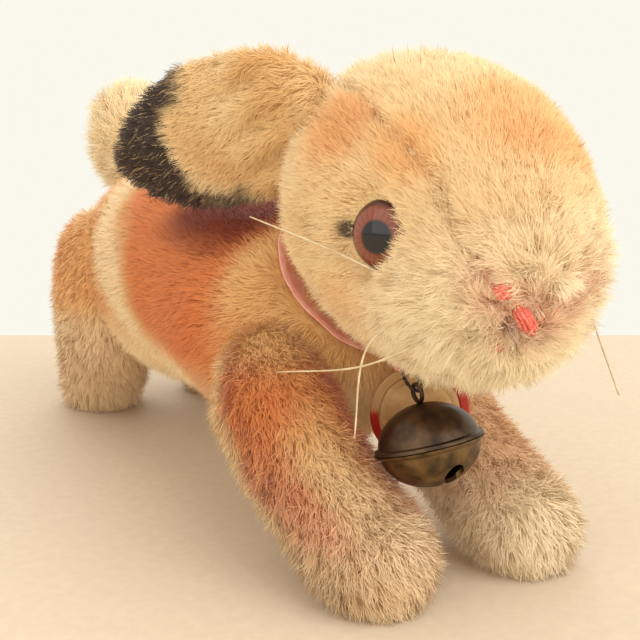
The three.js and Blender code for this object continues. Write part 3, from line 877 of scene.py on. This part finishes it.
def ear_look(side):
    """Short cream and gold pile with a sprayed tip, where some strands stay pale."""
    back = ear_placement(side).inverted()
    turn = np.array(back.to_3x3())
    shift = np.array(back.translation)

    def look(roots):
        local = (roots @ turn.T + shift) / MM
        comb = turn.T @ np.array([0.0, 1.0, -0.15]) + 0.3 * waves(roots, 6, 62)[:, None]
        warm = (GOLD, 0.35 + 0.35 * waves(roots, 9, 63))
        base = coated(CREAM, warm, (GOLD, 0.5 * fade(18, 4, local[:, 1])))
        dark = ear_dark(local) * np.where(grain(roots) < 0.07, 0.35, 0.97)
        # painted shade: the dark strands darker at the root than at the tip
        root = coated(base, (AUBERGINE * 0.7, dark))
        return comb, 3.0, 0.92, root, coated(base, (AUBERGINE, dark)), 0.125, 0.8
    return look


def make_ear(side, word):
    """One ear: its cloth takes the colours of the pile's roots."""
    name = f"ear_{word}"
    ear = ear_skin(f"{name}_skin", side)
    look = ear_look(side)
    paint(ear.data, look(points_of(ear))[3] * NAPPED_CLOTH_SHADE)
    dress(ear, CLOTH, name, [f"{name}_back", f"{name}_inner"])
    pile(f"{name}_pile", ear, name, 36000, look, SEED + 5 + side)


# -------- face
EYE_CENTRE = (18.2, -72.1, 65.5)
EYE_RADIUS = 6.0
EYE_DOME = 3.6
EYE_BACK = 2
PUPIL_RADIUS = 2.75
IRIS_RADIUS = 5.0
EYE_LOOKS = 60  # degrees out from straight ahead
IRIS = linear((114, 52, 32))
IRIS_STREAK = linear((158, 82, 52))
EYE_RIM = linear((60, 26, 18))
PUPIL = linear((22, 22, 25))


def eye_colours(local):
    """Brown flashed glass: a black pupil, an iris streaked from it, and a darker rim."""
    radius = np.linalg.norm(local[:, :2], axis=1)
    angle = np.arctan2(local[:, 1], local[:, 0])
    streak = 0.5 + 0.25 * np.sin(23 * angle) + 0.25 * np.sin(41 * angle + 1.3)
    return coated(
        IRIS,
        (IRIS_STREAK, 0.7 * streak * band(radius, 3.9, 0.5, 0.9)),
        (EYE_RIM, fade(IRIS_RADIUS - 0.4, IRIS_RADIUS + 0.5, radius)),
        (PUPIL, fade(PUPIL_RADIUS + 0.25, PUPIL_RADIUS - 0.25, radius)),
    )


def make_eye(side, word):
    """A domed glass eye, a little rounded behind."""
    x, y, z = EYE_CENTRE
    look = placed((x * side, y, z), (90, 0, EYE_LOOKS * side))
    profile = [(0, -EYE_BACK)]
    profile += [(r, -EYE_BACK * math.sqrt(1 - (r / EYE_RADIUS) ** 2)) for r in (2, 4, 5.4)]
    profile += [(EYE_RADIUS, 0)]
    for r in np.linspace(EYE_RADIUS, 0, 44)[1:]:
        profile.append((r, EYE_DOME * math.sqrt(max(0.0, 1 - (r / EYE_RADIUS) ** 2))))
    eye = lathe(f"eye_glass_{word}_shown", profile, 96, look)
    back = look.inverted()
    local = points_of(eye) / MM @ np.array(back.to_3x3()).T + np.array(back.translation) / MM
    paint(eye.data, eye_colours(local))
    dress(eye, EYE_GLASS, "head", [f"eye_glass_{word}"])


def on_skin(tree, point, lift):
    """The nearest place on a skin to a point in mm, raised by lift mm, in mm."""
    place, normal, _, _ = tree.find_nearest(Vector(point) * MM)
    return np.array(place + normal * lift * MM) / MM


NOSE_ARMS = [  # start, end, number of threads, lift
    ((-9.6, -91.5, 59.3), (-7.8, -91.8, 57.0), 5, 2.5),
    ((-6.0, -92.0, 55.4), (-1.8, -91.2, 49.8), 5, 2.5),
    ((9.6, -91.5, 59.3), (7.8, -91.8, 57.0), 3, 0.7),
    ((6.4, -92.0, 55.9), (-1.6, -91.8, 51.8), 3, 0.7),
]
MOUTH_STITCH = ((-7.6, -88.0, 48.6), (-6.4, -88.4, 47.6), 2, 2.6)
STITCH_RADIUS = 0.34
STITCH_PITCH = STITCH_RADIUS * 1.7
STITCH_END = 0.6  # a stitch's lift at its ends


def satin(tree, start, end, threads, lift):
    """A bundle of parallel stitches between two points, the middle ones longest and highest."""
    start = np.array(start)
    end = np.array(end)
    across = unit(np.cross(end - start, [0, -1, 0]))
    bars = []
    for i in range(threads):
        off = i - (threads - 1) / 2
        short = 0.07 * abs(off)
        a = start + (end - start) * short + across * off * STITCH_PITCH
        b = end - (end - start) * short + across * off * STITCH_PITCH
        rise = lift - 0.18 * abs(off)
        route = [on_skin(tree, a, STITCH_END), on_skin(tree, a + (b - a) * 0.15, rise)]
        route += [on_skin(tree, (a + b) / 2, rise + 0.25), on_skin(tree, a + (b - a) * 0.85, rise)]
        route += [on_skin(tree, b, STITCH_END)]
        path = spline(route, 5)
        bars.append((path, [STITCH_RADIUS] * len(path), False))
    return bars


def make_stitches(head):
    """The embroidered nose and mouth, and the stitches of the gusset seams."""
    rings = [tuple(p.vertices) for p in head.data.polygons]
    tree = BVHTree.FromPolygons([Vector(p) for p in points_of(head)], rings)
    bars = []
    for arm in NOSE_ARMS:
        bars += satin(tree, *arm)
    nose = tubes("nose_satin_stitches", bars)
    dress(nose, NOSE_THREAD, "head", ["nose_stitches"])
    mouth = tubes("mouth_satin_stitch", satin(tree, *MOUTH_STITCH))
    dress(mouth, NOSE_THREAD, "head", ["mouth_stitch"])
    seam = []
    line = spline(GUSSET_SEAM, 6)
    for side in (1, -1):
        for a, b in zip(line[1:-1:2], line[2::2]):
            a = a * np.array([side, 1, 1])
            b = b * np.array([side, 1, 1])
            reach = unit(np.cross(b - a, [side, -0.6, 0.3])) * 0.55
            route = [on_skin(tree, a - reach, 0.05), on_skin(tree, a, 0.35), on_skin(tree, b + reach, 0.05)]
            seam.append((spline(route, 3), [0.13] * 7, False))
    dress(tubes("gusset_seam_stitches", seam, 6), PAD_CLOTH, "head")


WHISKERS = {
    "upper": [(17, -78.6, 57.5), (25, -65.6, 62.7), (33, -51.3, 67.1)],
    "middle": [(16.6, -79.1, 54.5), (23.5, -75.1, 47.6), (27.5, -78.5, 34.2)],
    "lower": [(14, -81.1, 50), (23, -72.3, 44.1), (32, -59.9, 41.4)],
}


def make_whiskers():
    """Three tapered nylon whiskers on each side."""
    for side, word in ((1, "left"), (-1, "right")):
        for row, route in WHISKERS.items():
            path = spline([(x * side, y, z) for x, y, z in route], 14)
            radii = np.linspace(0.23, 0.13, len(path))
            whisker = tubes(f"whisker_{row}_{word}_shown", [(path, radii, False)], 10)
            dress(whisker, NYLON, "head", [f"whisker_{row}_{word}"])


# -------- ribbon, bell and tag
NECK = placed((0, -37.1, 52), (48, 0, 0))
RIBBON_RADII = (12.6, 21.9)
RIBBON_HEIGHTS = (0.5, 5.1)
RIBBON_NAPE = 0.2  # how far the band is drawn in behind the head, where the body falls away
RIBBON_STEPS = 160
RIBBON_ROWS = 7
RIBBON_WAVE = 0.22
RIBBON_THICK = 0.25


def make_ribbon():
    """A silk band laid flat between head and body, waved a little along its outer edge."""
    vertices = []
    for i in range(RIBBON_ROWS):
        t = i / (RIBBON_ROWS - 1)
        height = RIBBON_HEIGHTS[0] + t * (RIBBON_HEIGHTS[1] - RIBBON_HEIGHTS[0])
        for j in range(RIBBON_STEPS):
            angle = 2 * math.pi * j / RIBBON_STEPS
            drawn_in = 1 - RIBBON_NAPE * max(0.0, math.sin(angle)) ** 2
            radius = (RIBBON_RADII[0] + t * (RIBBON_RADII[1] - RIBBON_RADII[0])) * drawn_in
            wave = RIBBON_WAVE * t * (math.sin(9 * angle) + 0.6 * math.sin(17 * angle + 1))
            at = Vector((radius * math.cos(angle), radius * math.sin(angle), height + wave)) * MM
            vertices.append(NECK @ at)
    ribbon = mesh_object("neck_ribbon_shown", vertices, ring_faces(RIBBON_ROWS, RIBBON_STEPS, "open"))
    thick = ribbon.modifiers.new("thick", "SOLIDIFY")
    thick.thickness = RIBBON_THICK * MM
    thick.offset = 0
    apply_modifiers(ribbon)
    dress(ribbon, SILK, "body", ["neck_ribbon"])


KNOT_AT = np.array([-5.5, -57.9, 40.2])


def make_knot():
    """The ribbon's small knot: a wrap round two crossing folds."""
    turn = np.linspace(0, 2 * math.pi, 25)[:-1]
    wrap = KNOT_AT + np.stack([0.9 * np.sin(turn), 1.9 * np.cos(turn), 1.6 * np.sin(turn)], axis=1)
    bars = [(wrap, [0.8] * 24, True)]
    for tilt in (-0.5, 0.5):
        t = np.linspace(-1, 1, 13)
        path = KNOT_AT + np.stack([2.3 * t, 0.8 * np.cos(t * 3), tilt * 1.6 * t], axis=1)
        bars.append((path, 1.15 * np.sqrt(1.05 - t ** 2 * 0.75), False))
    dress(tubes("ribbon_knot_shown", bars, 14), SILK, "body", ["ribbon_knot"])


BELL = placed((-5.6, -66.9, 26.6), (-16.5, -6.3, 0))
BELL_RADIUS = 9.2
BELL_FLAT = 0.8  # a cup's height against its radius
BELL_WALL = 0.7
FLANGE_RADIUS = 10.0
SLOT_WIDTH = 2.4
SLOT_REACH = 6.2  # from the bell's axis to each end hole of the slot
SLOT_HOLE = 1.9
SLOT_DEPTHS = (-14, -2)  # the cutters' ends along the bell's axis
BELL_SHARP = math.radians(40)
LOOP_HEIGHT = 9.35  # the wire loop's middle above the bell's
LOOP_RADII = (1.5, 1.6)
LOOP_WIRE = 0.42
HANG = placed((-6.5, -62.2, 37.6), (40, 0, 0))
HANG_RADIUS = 2.6
HANG_NARROWING = 0.55
PLY_RADIUS = 0.22
PLY_OFFSET = 0.2
PLY_TURNS = 7


def cup(name, upper):
    """One pressed half of the bell with its crimped lip; the lower one has the slot."""
    sign = 1 if upper else -1
    lip = 0.55 if upper else 0.35
    angles = np.radians(np.linspace(0, 84, 26))
    outer = [(BELL_RADIUS * math.sin(a), BELL_RADIUS * BELL_FLAT * math.cos(a) + 0.15) for a in angles]
    inner = [(max(0.0, r - BELL_WALL * math.sin(a)), h - BELL_WALL) for (r, h), a in zip(outer, angles)]
    ring = [(FLANGE_RADIUS - 0.15, lip + 0.12), (FLANGE_RADIUS, lip * 0.6), (FLANGE_RADIUS, 0.1), (8.5, 0.1)]
    inside = [(r, h) for r, h in inner[::-1] if h > 0.3]
    profile = [(r, h * sign) for r, h in outer + ring + inside]
    profile[0] = (0, profile[0][1])
    profile[-1] = (0, profile[-1][1])
    obj = lathe(name, profile, 96, BELL)
    face_outward(obj)
    if not upper:
        cut_slot(obj)
    obj.data.shade_smooth()
    obj.data.set_sharp_from_angle(angle=BELL_SHARP)
    return obj


def cut_slot(obj):
    """A slot across the bottom of the bell with a round hole at each end."""
    cutters = []
    corners = []
    for x, y in ((-1, -1), (-1, 1), (1, -1), (1, 1)):
        for z in SLOT_DEPTHS:
            corners.append(BELL @ (Vector((x * SLOT_WIDTH / 2, y * SLOT_REACH, z)) * MM))
    rings = [(0, 1, 3, 2), (4, 6, 7, 5), (0, 4, 5, 1), (2, 3, 7, 6), (0, 2, 6, 4), (1, 5, 7, 3)]
    cutters.append(mesh_object("slot_cutter", corners, rings, smooth=False))
    low, high = SLOT_DEPTHS
    hole = [(0, low), (SLOT_HOLE, low), (SLOT_HOLE, high), (0, high)]
    for sign in (-1, 1):
        at = BELL @ Matrix.Translation(Vector((0, sign * SLOT_REACH, 0)) * MM)
        cutters.append(lathe("hole_cutter", hole, 28, at))
    for cutter in cutters:
        face_outward(cutter)
        cut = obj.modifiers.new("cut", "BOOLEAN")
        cut.operation = "DIFFERENCE"
        cut.solver = "EXACT"
        cut.object = cutter
        apply_modifiers(obj)
        bpy.data.objects.remove(cutter)


def make_bell():
    """The bell's two cups, its wire loop and the two-ply thread through it."""
    dress(cup("bell_upper_cup", True), BRASS_PAINTED_SHADE, "bell", ["bell_upper_shell"])
    dress(cup("bell_lower_cup", False), BRASS, "bell", ["bell_lower_shell"])
    path = []
    for a in np.linspace(0, 2 * math.pi, 33)[:-1]:
        at = Vector((0, LOOP_RADII[0] * math.cos(a), LOOP_HEIGHT + LOOP_RADII[1] * math.sin(a)))
        path.append(BELL @ (at * MM) / MM)
    loop = tubes("bell_wire_loop", [(path, [LOOP_WIRE] * len(path), True)], 12)
    dress(loop, BRASS_PAINTED_SHADE, "bell", ["bell_loop"])
    bars = []
    for phase in (0, math.pi):
        path = []
        for a in np.linspace(0, 2 * math.pi, 97)[:-1]:
            ply = PLY_TURNS * a + phase
            reach = HANG_RADIUS + PLY_OFFSET * math.cos(ply)
            across = HANG_NARROWING * reach * math.cos(a)
            at = Vector((across, reach * math.sin(a), PLY_OFFSET * math.sin(ply)))
            path.append(HANG @ (at * MM) / MM)
        bars.append((path, [PLY_RADIUS] * len(path), True))
    dress(tubes("bell_thread_shown", bars, 6), DARK_THREAD, "bell_hanger", ["bell_thread"])


TAG = placed((0.3, -54.5, 28.2), (90, 0, -25))
TAG_RADIUS = 9.5
TAG_BORDER = 1.7
TAG_SHARP = math.radians(35)
BORDER_TAN = linear((206, 162, 106))
BORDER_RED = linear((186, 34, 20))


def make_tag():
    """A tan card with rounded edges, a pressed ring and a raised red border."""
    inner = TAG_RADIUS - TAG_BORDER - 0.15
    face = [(0, 0.35), (inner - 1.6, 0.35), (inner - 1.3, 0.22), (inner - 1.0, 0.35), (inner - 0.15, 0.35)]
    profile = face + [(inner, 0.2), (inner, -0.2), (inner - 0.15, -0.35), (0, -0.35)]
    card = lathe("tag_card_shown", profile, 72, TAG)
    card.data.set_sharp_from_angle(angle=TAG_SHARP)
    dress(card, TAG_CARD, "tag", ["tag_card"])
    low = TAG_RADIUS - TAG_BORDER
    high = TAG_RADIUS
    ring = [(low, -0.35), (low, 0.3), (low + 0.2, 0.45), (high - 0.25, 0.45), (high, 0.25), (high, -0.2),
            (high - 0.2, -0.4), (low, -0.35)]
    rim = lathe("tag_rim_shown", ring, 72, TAG)
    rim.data.set_sharp_from_angle(angle=TAG_SHARP)
    x, _, z = (points_of(rim) / MM).T
    left_red = np.maximum(fade(26.5, 28.0, z), fade(21, 20, z))
    red = np.where(x < 0, fade(29.5, 28.0, z), left_red)
    paint(rim.data, coated(BORDER_TAN, (BORDER_RED, red)))
    dress(rim, TAG_LACQUER, "tag", ["tag_rim"])


# -------- CAD pieces that show as they are
CARRIED = {
    "stuffing": WOOD_WOOL,
    "neck_disc": FIBREBOARD,
    "neck_washer": STEEL,
    "neck_split_pin": STEEL,
    "eye_shank": STEEL,
    "bell_pellet": STEEL,
    "closing_seam": THREAD,
    "tag_thread": DARK_THREAD,
}


def finish_carried():
    """Materials for the CAD nodes that show as they are."""
    for name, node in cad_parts.items():
        for word, look in CARRIED.items():
            if word in name:
                node.data.materials.clear()
                node.data.materials.append(look)


make_body()
HEAD_SKIN = make_head()
make_tail()
for SIDE, WORD in ((1, "left"), (-1, "right")):
    make_ear(SIDE, WORD)
    make_eye(SIDE, WORD)
make_stitches(HEAD_SKIN)
make_whiskers()
make_ribbon()
make_knot()
make_bell()
make_tag()
finish_carried()


# -------- stage
TABLE_EDGE = 0.395  # from the camera
TABLE_SIZE = 1.6
LIT_POINT = Vector((0, 0, 0.04))
SURROUND = (0.965, 0.945, 0.85, 1)


def make_stage():
    """A pale plain table top that ends behind the hare, before a warm white surround."""
    across = Vector((AHEAD.y, -AHEAD.x, 0)) * TABLE_SIZE
    edge = Vector((CAMERA_AT[0], CAMERA_AT[1], 0)) + AHEAD * TABLE_EDGE
    near = edge - AHEAD * TABLE_SIZE
    corners = [near - across, near + across, edge + across, edge - across]
    table = mesh_object("table", corners, [(0, 1, 2, 3)])
    table.data.materials.append(mottled("pale_table", (210, 190, 164), (215, 195, 169), 400, roughness=0.65))


def area_light(name, at, size, power):
    """A white square light that shines on the middle of the hare."""
    data = bpy.data.lights.new(name, "AREA")
    data.size = size
    data.energy = power
    light = link(bpy.data.objects.new(name, data))
    light.location = at
    aim_along(light, LIT_POINT - Vector(at))


def make_light():
    """A key light in front, a weaker fill and back light, and a pale surround."""
    area_light("key", (0.25, -0.65, 0.55), 0.9, 5.6)
    area_light("fill", (-0.7, -0.3, 0.45), 0.9, 2.0)
    area_light("back", (0.1, 0.6, 0.7), 0.8, 2.2)
    world = bpy.data.worlds.new("world")
    world.use_nodes = True
    background = world.node_tree.nodes["Background"]
    background.inputs["Color"].default_value = SURROUND
    background.inputs["Strength"].default_value = 1.0
    bpy.context.scene.world = world
    bpy.context.scene.view_settings.view_transform = "Standard"


make_stage()
make_light()
